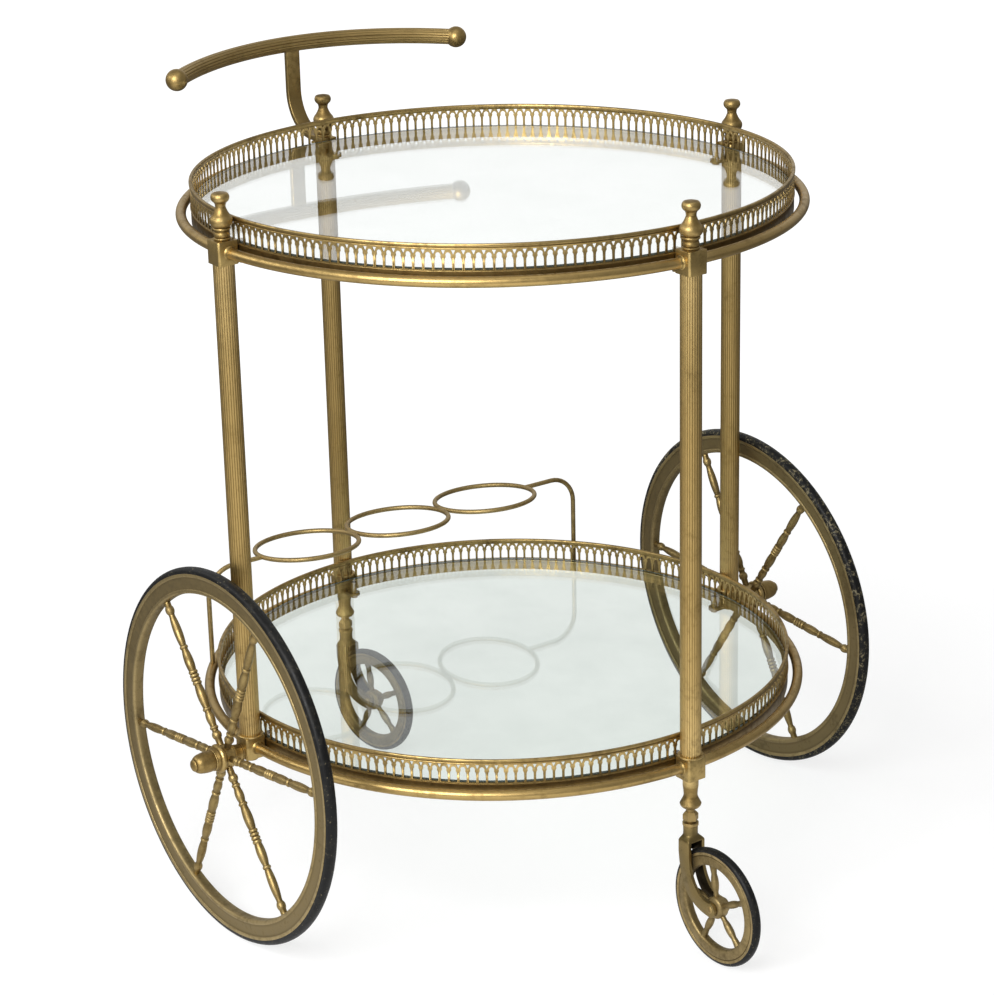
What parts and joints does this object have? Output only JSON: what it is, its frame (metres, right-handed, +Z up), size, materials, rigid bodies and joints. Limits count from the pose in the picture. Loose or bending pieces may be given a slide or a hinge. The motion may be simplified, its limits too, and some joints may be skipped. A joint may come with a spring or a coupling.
{
  "type": "bar cart",
  "caption": "Round brass bar cart with two glass trays in pierced galleries, large spoked side wheels, casters fore and aft, a bottle holder and a bowed push handle.",
  "frame": {"origin": "on the floor, at the middle of the cart's box; the trays' axis is 15.2 mm behind it", "axes": "+X from the push handle to the front caster, +Y to the pusher's left, +Z up"},
  "size_m": [0.7174, 0.6886, 0.7404],
  "materials": {
    "aged_brass": "aged, satin",
    "tarnished_brass": "tarnished, dull",
    "clear_glass": "clear, polished",
    "black_tyre": "worn black rubber"
  },
  "bodies": {
    "stand": {"post_front": "aged_brass", "post_left": "aged_brass", "post_rear": "aged_brass", "post_right": "aged_brass", "upper_block_front": "aged_brass", "upper_block_left": "aged_brass", "upper_block_rear": "aged_brass", "upper_block_right": "aged_brass", "lower_block_front": "aged_brass", "lower_block_left": "aged_brass", "lower_block_rear": "aged_brass", "lower_block_right": "aged_brass", "finial_front": "aged_brass", "finial_left": "aged_brass", "finial_rear": "aged_brass", "finial_right": "aged_brass", "tie_rods": "tarnished_brass", "upper_ring_arcs": "aged_brass", "upper_gallery": "aged_brass", "upper_glass_seat": "tarnished_brass", "upper_glass": "clear_glass", "upper_tray_lugs": "tarnished_brass", "lower_ring_arcs": "aged_brass", "lower_gallery": "aged_brass", "lower_glass_seat": "tarnished_brass", "lower_glass": "clear_glass", "lower_tray_lugs": "tarnished_brass", "tray_screws": "tarnished_brass", "handle_bar": "aged_brass", "handle_balls": "aged_brass", "handle_stem": "aged_brass", "bottle_ring_left": "aged_brass", "bottle_ring_middle": "aged_brass", "bottle_ring_right": "aged_brass", "bottle_leg_left": "aged_brass", "bottle_leg_right": "aged_brass", "wheel_axles": "tarnished_brass", "front_caster_socket": "aged_brass", "rear_caster_socket": "aged_brass"},
    "left_wheel": {"left_wheel_rim": "aged_brass", "left_wheel_tyre": "black_tyre", "left_wheel_spokes": "aged_brass", "left_wheel_hub": "aged_brass", "left_hub_cap": "aged_brass"},
    "right_wheel": {"right_wheel_rim": "aged_brass", "right_wheel_tyre": "black_tyre", "right_wheel_spokes": "aged_brass", "right_wheel_hub": "aged_brass", "right_hub_cap": "aged_brass"},
    "front_swivel": {"front_caster_stem": "tarnished_brass", "front_caster_fork": "aged_brass", "front_caster_axle": "tarnished_brass"},
    "front_roller": {"front_caster_wheel": "aged_brass", "front_caster_tyre": "black_tyre"},
    "rear_swivel": {"rear_caster_stem": "tarnished_brass", "rear_caster_fork": "aged_brass", "rear_caster_axle": "tarnished_brass"},
    "rear_roller": {"rear_caster_wheel": "aged_brass", "rear_caster_tyre": "black_tyre"}
  },
  "joints": [
    {"name": "left_wheel_spin", "type": "hinge", "parent": "stand", "child": "left_wheel", "pos_m": [-0.01527, 0.3093, 0.175], "axis": [0, 0.9991, 0.0419], "continuous": true},
    {"name": "right_wheel_spin", "type": "hinge", "parent": "stand", "child": "right_wheel", "pos_m": [-0.01527, -0.3093, 0.175], "axis": [-0.0262, 0.9995, -0.0192], "continuous": true},
    {"name": "front_swivel_turn", "type": "hinge", "parent": "stand", "child": "front_swivel", "pos_m": [0.26673, 0, 0.14], "axis": [0, 0, 1], "continuous": true},
    {"name": "front_caster_spin", "type": "hinge", "parent": "front_swivel", "child": "front_roller", "pos_m": [0.30373, 0.00065, 0.055], "axis": [-0.0175, 0.9998, 0], "continuous": true},
    {"name": "rear_swivel_turn", "type": "hinge", "parent": "stand", "child": "rear_swivel", "pos_m": [-0.29727, 0, 0.14], "axis": [0, 0, 1], "continuous": true},
    {"name": "rear_caster_spin", "type": "hinge", "parent": "rear_swivel", "child": "rear_roller", "pos_m": [-0.26108, 0.00769, 0.055], "axis": [-0.2079, 0.9781, 0], "continuous": true}
  ]
}
